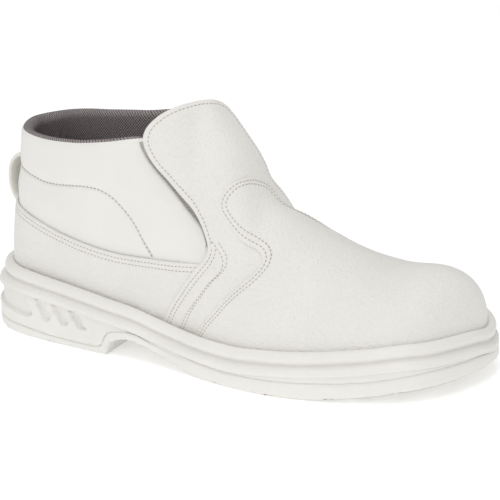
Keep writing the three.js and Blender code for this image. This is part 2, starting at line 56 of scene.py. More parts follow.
TOE_TURN = 8
TOE_TURN_FROM = 20
LEG_TURN = math.radians(5.5)
LEG_TURN_TO = 90
LEG_PIVOT = -125
PANEL_TURN = math.radians(23)
PANEL_PIVOT = -36
HEEL_LEAN = {"out": 3.4, "from_z": 20, "to_z": 40, "along": 0.15}
INNER_TOE_DROP = {"down": 3, "along": 0.9, "over": 25}
LOOP = {"width": 18, "band": 1.8, "middle": 84, "half": 16, "back": -139.5, "square": 0.6}
SLOTS = {"count": 3, "first": -111, "pitch": 12.3, "width": 6.2, "low": 12.5, "under": 6.5, "lean": 6.5}
SLOT_DEPTH = 1.9
LUG_RUNS = ((-136, -70), (15, 136))
LUG_BORDER = 7
LUG_DEPTH = 3
LUG_GAP = 3.2
LUG_PITCH = 17
NOTCH = 1.2
SPINE_ENDS = (-132, 118)
MM = 0.001

# Finer forms. Dents, furrows and rims are height and width; other pairs are
# the ends of a soft step, in height or in distance from an edge
PAD_START = (1, 14)
PAD_BY_FLAP = 0.35
SEAM_DENT = (0.7, 0.9)
SEAM_PINCH = {"share": 0.75, "above": 5.0, "under": 9.0}
TRENCH = {
    "depth": 1.5, "reach": (1.4, 2.4), "rise": (70, 84), "start": (66, 74), "fade": (100, 126),
    "ahead": (6, 10),
}
FOLDS = {"at": 19.1, "pitch": 0.3, "width": 0.35, "depth": 0.7, "rise": (70, 90), "fade": (104, 112)}
# Where the darker elastic starts: painted shade along the trench by the flap's edge, above a height
ELASTIC_SHADE_FROM = {"flap": -2.6, "z": 72}
EDGE_SINK = 0.15
INSIDE_SINK = 0.1
FLAP_DIP = {"depth": 1.15, "by_vamp": (-16, -1)}
COUNTER_DIP = {"depth": 0.9, "by_flap": (-10, -1)}
FREE_EDGE_FROM = (70, 76)
WING_ROWS_TO = (72, 80)
FURROW = (-0.3, 0.45)
STITCH = {"pitch": 2.3, "length": 1.7, "radius": 0.34, "sink": 0.08}
COLLAR_STITCH_PITCH = 2.5
SIDE_SEAM_DENT = (0.7, 0.32)
MARK_RIM = (0.3, 0.35)
MARK_RIM_AT = 0.7

# Cloth places in millimetres, and where the lining starts
CLOTH = {"around": 35, "up": 150, "rim": 3.5, "lining": 161}

# Sole outline in shares: along the length, then out from the middle on each side
OUTLINE = np.array([
    [0, 0, 0], [0.045, 0.225, 0.234], [0.145, 0.315, 0.333],
    [0.265, 0.356, 0.338], [0.385, 0.387, 0.32], [0.505, 0.455, 0.342],
    [0.625, 0.514, 0.41], [0.745, 0.5, 0.473], [0.86, 0.41, 0.468],
    [0.955, 0.234, 0.365], [1, -0.126, 0.126],
])
ROUND = 2 * (len(OUTLINE) - 1)
OUTLINE_SAMPLES = 400
SPLINE_ROUNDS = 60

# Side lines of the sole: share along the length, then heights of ground, seam and groove
SOLE = np.array([
    [-0.01, 0, 7, 30.6], [0.1, 0, 6, 30.6], [0.17, 0, 4.3, 29.4],
    [0.27, 0, 4, 26], [0.285, 0, 5.2, 25.3], [0.295, 0.2, 11, 24.9],
    [0.303, 6.5, 13.2, 24.6], [0.315, 9.2, 14.8, 24.1], [0.345, 11.2, 15.8, 23],
    [0.42, 6.5, 13.5, 18.8], [0.5, 0.8, 9.6, 15.9], [0.53, 0, 8.8, 15.5],
    [0.57, 0, 8.4, 15.4], [0.65, 0, 8.8, 17], [0.73, 0.3, 9.8, 19],
    [0.85, 3.8, 12.4, 22.7], [0.92, 6.8, 15.8, 25.2], [0.97, 8.2, 17.2, 25],
    [1.01, 8.6, 16.8, 22.8],
])

# Side of the sole from the ground up: measured from ground (0) or groove (1),
# height above it, distance out from the outline
SIDE = np.array([
    [0, 0, -1.6], [0, 1.6, 0], [0, 5, 0.1], [1, -6.9, -0.5],
    [1, -6.1, -0.7], [1, -5.2, 0.3], [1, -2.8, 0.3], [1, -0.6, -2.4],
    [1, 0.1, -3.1], [1, 0.8, -2.7], [1, 2.2, -1.3], [1, 4.4, -1],
    [1, 6.4, -2], [1, LIP_HEIGHT, -4.2], [1, LIP_HEIGHT - 0.3, -5.4], [1, LIP_HEIGHT - 3, -7],
])

# Upper part of the last, one row for each place round half of the foot. x,
# side and z are the top line, inset the foot of the wall, bulge and rise
# shape the wall above it, reach, out, drop and slope its way to the top
LAST_COLUMNS = "at x side z inset bulge rise reach out drop slope".split()
LAST = np.array([
    [0, -125, 0, 150, 9, 1.5, 40, 0, 0, 42, 0],
    [1, -118, 19, 150, 8.5, 1.5, 40, 0, 0, 42, 0],
    [2, -100, 31, 150, 7.5, 1, 38, 0, 0, 40, 0],
    [3, -74, 35, 151, 7, 0, 34, 0, 1, 40, 0],
    [3.6, -54, 35, 152, 7, -1, 32, 0, 2, 38, 0],
    [4.1, -37, 32, 153, 6.8, -1, 30, 0.15, 4, 34, -0.1],
    [4.5, -24, 24, 155, 6.6, 0, 30, 0.4, 5, 26, -0.4],
    [4.8, -14, 12, 156, 6.5, 0, 30, 0.6, 3, 13, -0.9],
    [5, -8, 0, 152, 6.5, 0, 30, 0.65, 0, 6, -1.15],
    [5.375, 5.5, 0, 135, 6.5, 0, 30, 0.62, 0, 3, -1.25],
    [5.7, 18.5, 0, 116, 6.5, 1, 28, 0.6, 0, 2, -1.6],
    [6, 29, 0, 95.5, 6.5, 2, 26, 0.58, 0, 2, -1.3],
    [6.3, 39.5, 0, 87.5, 6.5, 2, 25, 0.56, 0, 2, -0.65],
    [7, 67, 0, 70.5, 6.5, 4, 22, 0.55, 0, 2, -0.42],
    [8, 96, 0, 60.3, 6.5, 4, 22, 0.6, 0, 0, -0.05],
    [9, 114, 0, 61.6, 6.5, 4, 24, 0.68, 0, 0, -0.02],
    [10, 122, 0, 60.9, 6.5, 4, 24, 0.75, 0, 0, -0.05],
])

# How much fuller the inner side of the instep is: out and reach, by place
INNER_FULLER = {5.0: (2.7, 0.19), 5.375: (2.5, 0.21), 6.3: (0, 0.2)}

# Height of the collar rim on the way round
COLLAR_FRONT = 5.375
COLLAR = np.array([
    [0, 116.5], [1, 116], [2, 116], [3, 118], [3.6, 121.5],
    [4.1, 125.5], [4.6, 130], [5, 133.5], [COLLAR_FRONT, 135],
])

# Edges and seams from the side; for the front panels, along their direction
FREE_EDGE = [(-27, 128), (-25, 121.6), (-21, 114.6), (-15, 107.2), (-3, 91), (3, 82.5), (6.4, 75)]
WING_EDGE = [
    (6.8, 72), (6.4, 69.3), (4.8, 65.9), (-1.8, 57), (-10.5, 44.4), (-17, 34.9), (-21.7, 26.2), (-30.5, 6),
]
FLAP_TOP = [(40, 166), (-5, 150.8), (-10, 149.8), (-16, 147.2), (-22, 142), (-26.5, 134)]
# The flap's free edge on the inner side, seen from the front
INNER_EDGE = [
    (-22, 153.5), (-14, 150.4), (-10.2, 148), (-7.2, 146.2), (-3.2, 143.2), (0.4, 139.1), (2.4, 133.5),
    (3, 127.8), (3.9, 122.4), (5.5, 116.7), (6.8, 110.2), (7.4, 104.3), (10, 98), (15, 92), (22, 87),
    (31, 82), (42, 78), (80, 75),
]
VAMP_EDGE = [
    (40, 112), (14, 108.5), (11.3, 107), (9.6, 103), (8.6, 98), (9.6, 93.5), (12.2, 89.5), (19.4, 81.5),
    (25.4, 76), (31, 72), (33.4, 68.9), (34, 66), (31.8, 60.4), (26.8, 54), (20.4, 47), (12.8, 37.8),
    (6.6, 30.6), (2.6, 24.4), (-8, 6),
]
COUNTER_EDGE = [
    (-160, 76), (-136, 74.5), (-115, 70), (-97, 65.3), (-74, 61), (-55, 59), (-30, 60), (5, 62.5),
]
COLLAR_SEAM = [
    (-160, 95.5), (-136, 95.8), (-121, 95.4), (-110, 94), (-101, 92.8), (-90, 93.4), (-74, 95.4),
    (-65, 95.6), (-60, 94.8), (-53.4, 92), (-46.2, 86), (-40, 78.4), (-34.6, 68), (-27, 56), (-20, 44),
]
WING_ROWS = [
    [(8.8, 76.5), (12.5, 72.4), (16.5, 66.5), (15.8, 61), (8.6, 52.5), (1.4, 42.4), (-4.4, 34.1),
     (-9.6, 25), (-16, 12)],
    [(10.8, 78.5), (14.6, 74), (18.4, 68.2), (18, 62.6), (11, 54.4), (3.8, 44.3), (-2, 35.6),
     (-7.2, 25.5), (-13.6, 12)],
]
# Outline of the recess round the back of the heel, seen from the side
RECESS = [(-190, 25), (-190, 18), (-113.5, 12), (-112.5, 14.5), (-119.5, 25)]

# Distances of the stitch rows inside their edges
FLAP_ROWS = (2.3,)
WING_EDGE_ROWS = (2.5, 4.8)
VAMP_ROWS = (1.6, 3.3)
COUNTER_ROWS = (2.2, 4.8)
WING_FIELDS = ("first_wing_row", "second_wing_row")

# Soft forms across the vamp: place, lean, depth, width and lowest height
CREASES = [
    (52, -0.45, -0.3, 7.0, 44),
    (66, -0.40, 0.35, 6.0, 42),
    (80, -0.35, -0.3, 6.0, 40),
]
CREASE_MIDDLE = 60
CREASE_FADE = 12


def smooth(low, high, value):
    """Soft step from 0 at low to 1 at high."""
    f = np.clip((value - low) / (high - low), 0, 1)
    return f * f * (3 - 2 * f)


def bell(value, height, width):
    """Soft bump that fades to both sides of value 0."""
    return height * np.exp(-((value / width) ** 2))


def toe_turn(x):
    """How far the toe has turned inwards at x."""
    return TOE_TURN * smooth(TOE_TURN_FROM, LENGTH / 2 - TOE_TURN_FROM, x)


def even_slope(a, b):
    """Slope between two secants, without overshoot."""
    total = np.where(a + b == 0, 1, a + b)
    return np.where(a * b <= 0, 0, 2 * a * b / total)


def eased(f, near, far, leave, arrive):
    """Curve from near to far with given slopes at its ends."""
    rest = 1 - f
    ends = near * (1 + 2 * f) * rest**2 + far * (3 - 2 * f) * f**2
    return ends + leave * f * rest**2 - arrive * rest * f**2


def steady(keys, values):
    """A curve through values that never overshoots them."""
    keys, values = np.asarray(keys, float), np.asarray(values, float)
    secant = np.diff(values) / np.diff(keys)
    slope = even_slope(np.concatenate([secant[:1], secant]), np.concatenate([secant, secant[-1:]]))

    def curve(key):
        i = np.clip(np.searchsorted(keys, key, side="right") - 1, 0, len(keys) - 2)
        width = keys[i + 1] - keys[i]
        f = np.clip((key - keys[i]) / width, 0, 1)
        return eased(f, values[i], values[i + 1], slope[i] * width, slope[i + 1] * width)

    return curve


def closed_spline(rows):
    """A smooth closed curve through rows of points, one row a step."""
    control = rows.copy()
    for _ in range(SPLINE_ROUNDS):
        control = (6 * rows - np.roll(control, 1, 0) - np.roll(control, -1, 0)) / 4

    def curve(t):
        i = np.floor(t).astype(int)
        f = (t - i)[..., None]
        weights = ((1 - f) ** 3, 3 * f**3 - 6 * f**2 + 4, -3 * f**3 + 3 * f**2 + 3 * f + 1, f**3)
        return sum(w * control[(i + j - 1) % len(rows)] for j, w in enumerate(weights)) / 6

    return curve


def outline_curve():
    """The sole's outline round the foot, and its middle line."""
    along = LENGTH * (OUTLINE[:, 0] - 0.5)
    outer = np.stack([along, -BALL * OUTLINE[:, 1]], 1)
    inner = np.stack([along, BALL * OUTLINE[:, 2]], 1)[1:-1][::-1]
    raw = closed_spline(np.concatenate([outer, inner]))
    samples = raw(np.arange(OUTLINE_SAMPLES) * ROUND / OUTLINE_SAMPLES)
    low, high = samples.min(0), samples.max(0)

    def curve(t):
        return (LENGTH, BALL) * ((raw(t) - low) / (high - low) - 0.5)

    return curve, -BALL * (low[1] / (high[1] - low[1]) + 0.5)


outline, MIDDLE = outline_curve()
ground, seam, groove = (steady(SOLE[:, 0], column) for column in SOLE[:, 1:].T)
collar = steady(*COLLAR.T)


def outline_at(t, out):
    """Points of the outline moved outwards, with the way out."""
    step = 0.01
    run = outline(t + step) - outline(t - step)
    run /= np.linalg.norm(run, axis=-1, keepdims=True)
    normal = np.stack([run[..., 1], -run[..., 0]], -1)
    return outline(t) + np.asarray(out)[..., None] * normal, normal


def near_place(t):
    """Place on the nearer half of the way round from the heel."""
    at = t % ROUND
    return np.minimum(at, ROUND - at)


def last_columns():
    """A curve round the whole foot for each column of the last."""
    back = LAST[1:-1][::-1].copy()
    back[:, 0] = ROUND - back[:, 0]
    for name in ("side", "out"):
        back[:, LAST_COLUMNS.index(name)] *= -1
    for place, (out, reach) in INNER_FULLER.items():
        row = np.flatnonzero(back[:, 0] == ROUND - place)[0]
        back[row, LAST_COLUMNS.index("out")] -= out
        back[row, LAST_COLUMNS.index("reach")] += reach
    loop = np.concatenate([LAST, back])
    before, after = loop[-3:].copy(), loop[:4].copy()
    before[:, 0] -= ROUND
    after[:, 0] += ROUND
    rows = np.concatenate([before, loop, after])
    return {name: steady(rows[:, 0], rows[:, k]) for k, name in enumerate(LAST_COLUMNS)}


def last_points(t, v):
    """The outside of the boot at every place t and height v."""
    at = t % ROUND
    get = {name: column(at) for name, column in last_columns().items()}
    foot, normal = outline_at(at, -get["inset"])
    foot_z = groove(foot[:, 0] / LENGTH + 0.5) + LIP_HEIGHT - FEATHER_DEPTH
    turn = LEG_TURN * (1 - smooth(0, LEG_TURN_TO, get["x"]))
    y = toe_turn(get["x"]) - get["side"]
    run = get["x"] - LEG_PIVOT
    top_x = LEG_PIVOT + run * np.cos(turn) + y * np.sin(turn)
    top_y = MIDDLE - run * np.sin(turn) + y * np.cos(turn)
    dx = get["reach"] * (foot[:, 0] - top_x)
    dy = get["reach"] * (foot[:, 1] - top_y) - get["out"]
    points = [
        np.column_stack([foot, foot_z]),
        np.column_stack([foot + get["bulge"][:, None] * normal, foot_z + get["rise"]]),
        np.column_stack([top_x + dx, top_y + dy, get["z"] + get["slope"] * dx - get["drop"]]),
        np.column_stack([top_x, top_y, get["z"]]),
    ]
    weights = ((1 - v) ** 3, 3 * v * (1 - v) ** 2, 3 * v * v * (1 - v), v**3)
    return sum(w[None, :, None] * p[:, None, :] for w, p in zip(weights, points))


# The surface and its normals on a fine grid, eased over the table's joints
PLACES = 960
LEVELS = 140
EASING = 26
HALVINGS = 24
GRID_T = np.arange(PLACES) * ROUND / PLACES


def with_neighbours(base):
    """The grid with one more row below and one above."""
    ridge = (near_place(GRID_T) >= 5)[:, None, None]
    other = (-np.arange(PLACES)) % PLACES
    over = np.where(ridge, base[other][:, -2:-1], 2 * base[:, -1:] - base[:, -2:-1])
    return np.concatenate([2 * base[:, :1] - base[:, 1:2], base, over], 1)


def build_surface():
    """Points and normals of the outside on the fine grid."""
    base = last_points(GRID_T, np.linspace(0, 1, LEVELS + 1))
    for _ in range(EASING):
        base = (np.roll(base, 1, 0) + 2 * base + np.roll(base, -1, 0)) / 4
        full = with_neighbours(base)
        base = (full[:, :-2] + 2 * full[:, 1:-1] + full[:, 2:]) / 4
    full = with_neighbours(base)
    around = np.roll(base, -1, 0) - np.roll(base, 1, 0)
    normal = np.cross(around, full[:, 2:] - full[:, :-2])
    length = np.linalg.norm(normal, axis=-1, keepdims=True)
    normal = np.where(length > 0, normal, (0, 0, 1)) / np.where(length > 0, length, 1)
    return np.concatenate([base, normal], -1)


SURFACE = build_surface()


def surface(t, v):
    """Points and normals of the outside, between the grid's own."""
    a = (t % ROUND) / ROUND * PLACES
    i = np.floor(a).astype(int)
    fa = (a - i)[:, None]
    b = np.clip(v, 0, 1) * LEVELS
    j = np.minimum(np.floor(b).astype(int), LEVELS - 1)
    fb = (b - j)[:, None]
    i, k = i % PLACES, (i + 1) % PLACES
    low = SURFACE[i, j] * (1 - fb) + SURFACE[i, j + 1] * fb
    high = SURFACE[k, j] * (1 - fb) + SURFACE[k, j + 1] * fb
    both = low * (1 - fa) + high * fa
    normal = both[:, 3:]
    return both[:, :3], normal / np.linalg.norm(normal, axis=1, keepdims=True)


def raised(t, v, level):
    """Points that lie level above the surface."""
    base, normal = surface(t, v)
    return base + normal * np.asarray(level)[..., None]


def height_at(t, z):
    """Height v on the wall where the outside reaches z."""
    low, high = np.zeros_like(t), np.ones_like(t)
    for _ in range(HALVINGS):
        middle = (low + high) / 2
        under = surface(t, middle)[0][:, 2] < z
        low = np.where(under, middle, low)
        high = np.where(under, high, middle)
    return (low + high) / 2


def between(x, low, high, near, far):
    """Point between near and far, as x is between low and high."""
    return (high - x) / (high - low) * near + (x - low) / (high - low) * far


def fine_line(points, spacing=1.2):
    """A smooth line through points."""
    points = np.array(points, float)
    run = np.concatenate([[0], np.cumsum(np.linalg.norm(np.diff(points, axis=0), axis=1) ** 0.5)])
    ends = np.concatenate([[2 * points[0] - points[1]], points, [2 * points[-1] - points[-2]]])
    keys = np.concatenate([[-run[1]], run, [2 * run[-1] - run[-2]]])
    out = []
    for i in range(1, len(ends) - 2):
        p, k = ends[i - 1:i + 3], keys[i - 1:i + 3]
        count = max(2, int(np.linalg.norm(p[2] - p[1]) / spacing))
        x = (k[1] + (k[2] - k[1]) * np.arange(count) / count)[:, None]
        a = [between(x, k[j], k[j + 1], p[j], p[j + 1]) for j in range(3)]
        b = [between(x, k[j], k[j + 2], a[j], a[j + 1]) for j in range(2)]
        out.append(between(x, k[1], k[2], b[0], b[1]))
    return np.concatenate([*out, points[-1:]])


# Places measured at a time, and the width at which points are made one
BATCH = 4000
WELD = 0.01


def distance(points, line, closed=False):
    """Signed distance from a line: positive to its left."""
    ends = np.roll(line, -1, 0) if closed else line[1:]
    starts = line if closed else line[:-1]
    along = ends - starts
    length = np.linalg.norm(along, axis=1)
    result = np.empty(len(points))
    for low in range(0, len(points), BATCH):
        q = points[low:low + BATCH, None, :] - starts[None]
        f = np.clip((q * along).sum(-1) / length**2, 0, 1)
        gap = np.linalg.norm(q - f[..., None] * along, axis=-1)
        cross = (along[:, 0] * q[..., 1] - along[:, 1] * q[..., 0]) / length
        best = (gap - 1e-3 * np.abs(cross)).argmin(1)
        rows = np.arange(len(best))
        result[low:low + BATCH] = gap[rows, best] * np.where(cross[rows, best] >= 0, 1, -1)
    return result


def turned(p):
    """Places seen along the front panels' direction."""
    x = p[:, 0] * math.cos(PANEL_TURN) - (p[:, 1] - PANEL_PIVOT) * math.sin(PANEL_TURN)
    return np.column_stack([x, p[:, 2]])


def side_view(p):
    """Places seen from the side."""
    return p[:, [0, 2]]


FLAP_LINE = fine_line(FLAP_TOP + FREE_EDGE + WING_EDGE)
INNER_LINE = fine_line(INNER_EDGE)[::-1]
VAMP_LINE = fine_line(VAMP_EDGE)
COUNTER_LINE = fine_line(COUNTER_EDGE)[::-1]
SEAM_LINE = fine_line(COLLAR_SEAM)[::-1]
WING_LINES = [fine_line(row) for row in WING_ROWS]


class Skin:
    """Triangles over a grid of places, cut along level lines of its fields."""

    def __init__(self, t, w):
        grid = np.stack(np.meshgrid(t, w, indexing="ij"), -1).reshape(-1, 2)
        self.names = ["t", "w"]
        self.data = grid
        n = len(w)
        i, j = np.meshgrid(np.arange(len(t) - 1), np.arange(n - 1), indexing="ij")
        a = (i * n + j).ravel()
        b, c, d = a + n, a + n + 1, a + 1
        self.tri = np.concatenate([np.column_stack([a, b, c]), np.column_stack([a, c, d])])

    def __getitem__(self, name):
        return self.data[:, self.names.index(name)]

    def __setitem__(self, name, values):
        if name in self.names:
            self.data[:, self.names.index(name)] = values
        else:
            self.names.append(name)
            self.data = np.column_stack([self.data, values])

    def split(self, name, *levels):
        """Cut the triangles along levels of one field."""
        for level in levels:
            self._split(self.names.index(name), level)

    def _split(self, column, level):
        f = self.data[:, column] - level
        f = np.where(np.abs(f) < 1e-5, 1e-5, f)
        above = (f > 0)[self.tri]
        count = above.sum(1)
        mixed = (count == 1) | (count == 2)
        cut = self.tri[mixed]
        if not len(cut):
            return
        lone = (above[mixed] == (count[mixed] == 1)[:, None]).argmax(1)
        rows = np.arange(len(cut))
        a, b, c = cut[rows, lone], cut[rows, (lone + 1) % 3], cut[rows, (lone + 2) % 3]
        pairs = np.sort(np.concatenate([np.column_stack([a, b]), np.column_stack([a, c])]), axis=1)
        unique, inverse = np.unique(pairs, axis=0, return_inverse=True)
        inverse = inverse.reshape(-1)
        low, high = unique[:, 0], unique[:, 1]
        weight = (f[low] / (f[low] - f[high]))[:, None]
        fresh = self.data[low] + weight * (self.data[high] - self.data[low])
        fresh[:, column] = level
        p = len(self.data) + inverse[:len(cut)]
        q = len(self.data) + inverse[len(cut):]
        self.data = np.concatenate([self.data, fresh])
        pieces = [(a, p, q), (p, b, c), (p, c, q)]
        self.tri = np.concatenate([self.tri[~mixed], *(np.column_stack(piece) for piece in pieces)])

    def keep(self, name, level=0.0, below=False):
        """Cut along a level and keep one side of it."""
        self.split(name, level)
        f = self[name][self.tri].mean(1)
        self.tri = self.tri[f < level if below else f > level]

    def trace(self, name, level):
        """Lines along a level it was split at."""
        on = np.abs(self[name] - level) < 1e-6
        links = {}
        for tri in self.tri[on[self.tri].sum(1) == 2]:
            a, b = [int(k) for k in tri if on[k]]
            links.setdefault(a, set()).add(b)
            links.setdefault(b, set()).add(a)
        lines = []
        while links:
            start = next((k for k in sorted(links) if len(links[k]) == 1), min(links))
            line = [start]
            while links.get(line[-1]):
                here = line[-1]
                step = min(links[here])
                links[here].discard(step)
                links[step].discard(here)
                line.append(step)
            for k in line:
                if not links.get(k):
                    links.pop(k, None)
            if len(line) > 2:
                lines.append(self.data[line])
        return lines


def welded(points, tri):
    """Rows in use and triangles over them, with equal points made one."""
    used, corners = np.unique(tri, return_inverse=True)
    keys = np.round(points[used] / WELD).astype(np.int64)
    _, first, inverse = np.unique(keys, axis=0, return_index=True, return_inverse=True)
    tri = inverse.reshape(-1)[corners.reshape(-1, 3)]
    good = (tri[:, 0] != tri[:, 1]) & (tri[:, 1] != tri[:, 2]) & (tri[:, 2] != tri[:, 0])
    return used[first], tri[good], good


def border(tri):
    """Edges that only one triangle has, in its order."""
    edges = np.concatenate([tri[:, [0, 1]], tri[:, [1, 2]], tri[:, [2, 0]]])
    _, index, count = np.unique(np.sort(edges, axis=1), axis=0, return_index=True, return_counts=True)
    return edges[index[count == 1]]


def linked(name, data):
    obj = bpy.data.objects.new(name, data)
    bpy.context.scene.collection.objects.link(obj)
    return obj


def make_object(name, points, faces, materials, index=None, uv=None, node=None):
    """One smooth piece that rides on the boot's body."""
    mesh = bpy.data.meshes.new(name)
    mesh.from_pydata((np.asarray(points) * MM).tolist(), [], [list(map(int, f)) for f in faces])
    for material in materials:
        mesh.materials.append(material)
    mesh.polygons.foreach_set("use_smooth", np.ones(len(mesh.polygons), bool))
    if index is not None:
        mesh.polygons.foreach_set("material_index", np.asarray(index, np.int32))
    if uv is not None:
        layer = mesh.uv_layers.new(name="cloth")
        corners = np.empty(len(mesh.loops), np.int32)
        mesh.loops.foreach_get("vertex_index", corners)
        layer.data.foreach_set("uv", (np.asarray(uv)[corners] * MM).ravel())
    mesh.update()
    obj = linked(name, mesh)
    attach(obj, "root")
    if node:
        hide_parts(node)
    return obj


def shell_object(name, skin, outer, inner, node):
    """A panel with its thickness, between two heights."""
    top = raised(skin["t"], skin["w"], outer)
    first, tri, _ = welded(top, skin.tri)
    top, bottom = top[first], raised(skin["t"], skin["w"], inner)[first]
    edge = border(tri)
    n = len(top)
    walls = np.column_stack([edge[:, 1], edge[:, 0], edge[:, 0] + n, edge[:, 1] + n])
    faces = tri.tolist() + (tri[:, ::-1] + n).tolist() + walls.tolist()
    make_object(name, np.concatenate([top, bottom]), faces, [PANEL], node=node)


def rolled(d, radius=0.7):
    """How far a rounded edge lies under the face, at distance d inside it."""
    x = np.clip(d, 0, radius)
    return np.sqrt(radius**2 - (radius - x) ** 2) - radius


def furrow(d, rows):
    """Shallow dents that the rows of stitches pull into a panel."""
    return sum(bell(d - row, *FURROW) for row in rows)


def socket(node, name, value):
    node.inputs[name].default_value = value


class Paint:
    """Builds one material's nodes."""

    def __init__(self, name, color, roughness, specular=0.4):
        self.material = bpy.data.materials.new(name)
        self.material.use_nodes = True
        self.tree = self.material.node_tree
        self.shader = self.tree.nodes["Principled BSDF"]
        socket(self.shader, "Base Color", (*color, 1))
        socket(self.shader, "Roughness", roughness)
        socket(self.shader, "Specular IOR Level", specular)
        self.height = None

    def node(self, kind, **values):
        made = self.tree.nodes.new(kind)
        for key, value in values.items():
            setattr(made, key, value)
        return made

    def place(self, source="Object", turn=0.0):
        coords = self.node("ShaderNodeTexCoord")
        mapping = self.node("ShaderNodeMapping")
        socket(mapping, "Rotation", (0, 0, turn))
        self.link(coords.outputs[source], mapping, "Vector")
        return mapping.outputs["Vector"]

    def link(self, output, node, name):
        self.tree.links.new(output, node.inputs[name])

    def chain(self, kind, source, output, values, into="Vector", **settings):
        made = self.node(kind, **settings)
        for name, value in values.items():
            socket(made, name, value)
        self.link(source, made, into)
        return made.outputs[output]

    def noise(self, vector, scale, detail=3, roughness=0.5):
        values = {"Scale": scale, "Detail": detail, "Roughness": roughness}
        return self.chain("ShaderNodeTexNoise", vector, "Fac", values)

    def cells(self, vector, scale, feature="F1", randomness=1.0):
        values = {"Scale": scale, "Randomness": randomness}
        return self.chain("ShaderNodeTexVoronoi", vector, "Distance", values, feature=feature)

    def span(self, value, low, high, to_low, to_high):
        limits = {"From Min": low, "From Max": high, "To Min": to_low, "To Max": to_high}
        return self.chain("ShaderNodeMapRange", value, "Result", limits, "Value")

    def tint(self, value, low, high, dark, light):
        ramp = self.node("ShaderNodeValToRGB")
        for stop, at, color in zip(ramp.color_ramp.elements, (low, high), (dark, light)):
            stop.position = at
            stop.color = (*color, 1)
        self.link(value, ramp, "Fac")
        self.link(ramp.outputs["Color"], self.shader, "Base Color")

    def bump(self, value, depth):
        made = self.node("ShaderNodeBump")
        socket(made, "Distance", depth)
        self.link(value, made, "Height")
        if self.height is not None:
            self.link(self.height, made, "Normal")
        self.height = made.outputs["Normal"]
        self.link(self.height, self.shader, "Normal")

    def rough(self, value):
        self.link(value, self.shader, "Roughness")


def shade(color, factor):
    return tuple(c * factor for c in color)


def mottle(paint, place, color, scale):
    """Let the colour drift a little over broad areas."""
    broad = paint.noise(place, scale)
    paint.tint(broad, 0.3, 0.7, shade(color, 0.975), shade(color, 1.01))
    return broad


def leather(name, color, grain, roughness=0.5):
    paint = Paint(name, color, roughness)
    place = paint.place()
    broad = mottle(paint, place, color, 28)
    paint.rough(paint.span(broad, 0.3, 0.7, roughness - 0.04, roughness + 0.05))
    paint.bump(paint.cells(place, 820, "SMOOTH_F1"), 0.00022 * grain)
    paint.bump(paint.noise(place, 1500, detail=2), 0.00008 * grain)
    return paint.material


def moulded(name, color):
    paint = Paint(name, color, 0.46)
    place = paint.place()
    mottle(paint, place, color, 40)
    paint.rough(paint.span(paint.noise(place, 90, detail=2), 0.3, 0.7, 0.4, 0.54))
    paint.bump(paint.noise(place, 700, detail=4, roughness=0.6), 0.00025)
    return paint.material


def mesh_cloth(name, color, pitch, source="UV"):
    """Dark cloth with light knobs in slanted rows, a pitch apart."""
    paint = Paint(name, color, 0.9, specular=0.2)
    place = paint.place(source, turn=math.pi / 4)
    cells = paint.cells(place, 1 / (pitch * MM), randomness=0.12)
    paint.tint(cells, 0.2, 0.6, shade(color, 1.9), shade(color, 0.2))
    paint.bump(cells, -0.0008)
    paint.bump(paint.noise(place, 3000, detail=2), 0.0002)
    return paint.material


def ribbed(name, color, pitch):
    """Cloth with fine ribs, about a pitch apart."""
    paint = Paint(name, color, 0.8, specular=0.25)
    place = paint.place()
    scale = {"Scale": 1 / (pitch * MM * 6)}
    wave = paint.chain("ShaderNodeTexWave", place, "Fac", scale, bands_direction="Z")
    paint.tint(wave, 0.1, 0.9, shade(color, 0.85), color)
    paint.bump(wave, 0.0002)
    paint.bump(paint.noise(place, 2500, detail=2), 0.0001)
    return paint.material


WHITE = (0.82, 0.805, 0.765)
PANEL = leather("panel_leather", WHITE, 1.9)
SMOOTH = leather("collar_leather", (0.83, 0.82, 0.785), 0.6)
SOLE_PAINT = moulded("sole_foam", (0.83, 0.818, 0.775))
LINING = mesh_cloth("lining_mesh", (0.27, 0.238, 0.238), 1.5)
# The throat elastic is a real part, but its colour is darkened as painted shade for the shadowed trench
# between the collar pad and the flap's edge
ELASTIC_PAINTED_SHADE = ribbed("throat_elastic_painted_shade", (0.55, 0.52, 0.48), 0.8)
WEBBING = leather("loop_webbing", (0.80, 0.785, 0.74), 0.8, 0.7)
THREAD = leather("thread", (0.50, 0.455, 0.395), 0.5, 0.6)
INSOLE_CLOTH = mesh_cloth("insole_cloth", (0.10, 0.09, 0.092), 1.7, "Object")


def rounded_corner(a, b, size=8):
    """The smaller of two distances, rounded where they meet."""
    return np.minimum(a, b) - np.maximum(size - np.abs(a - b), 0) ** 2 / (4 * size)


def edge_fields(p):
    """Distances of places inside the edges of the panels."""
    outer = distance(turned(p), FLAP_LINE)
    inner = distance(p[:, 1:], INNER_LINE)
    return {
        "flap": rounded_corner(outer, inner),
        "outer": outer,
        "inner": inner,
        "vamp": distance(turned(p), VAMP_LINE),
        "counter": distance(side_view(p), COUNTER_LINE),
    }


def collar_top(t):
    """Height v of the rim, and of the ridge in front of it."""
    near = near_place(t)
    top = height_at(t, collar(np.minimum(near, COLLAR_FRONT)))
    return np.where(near < COLLAR_FRONT, top, 1.0)


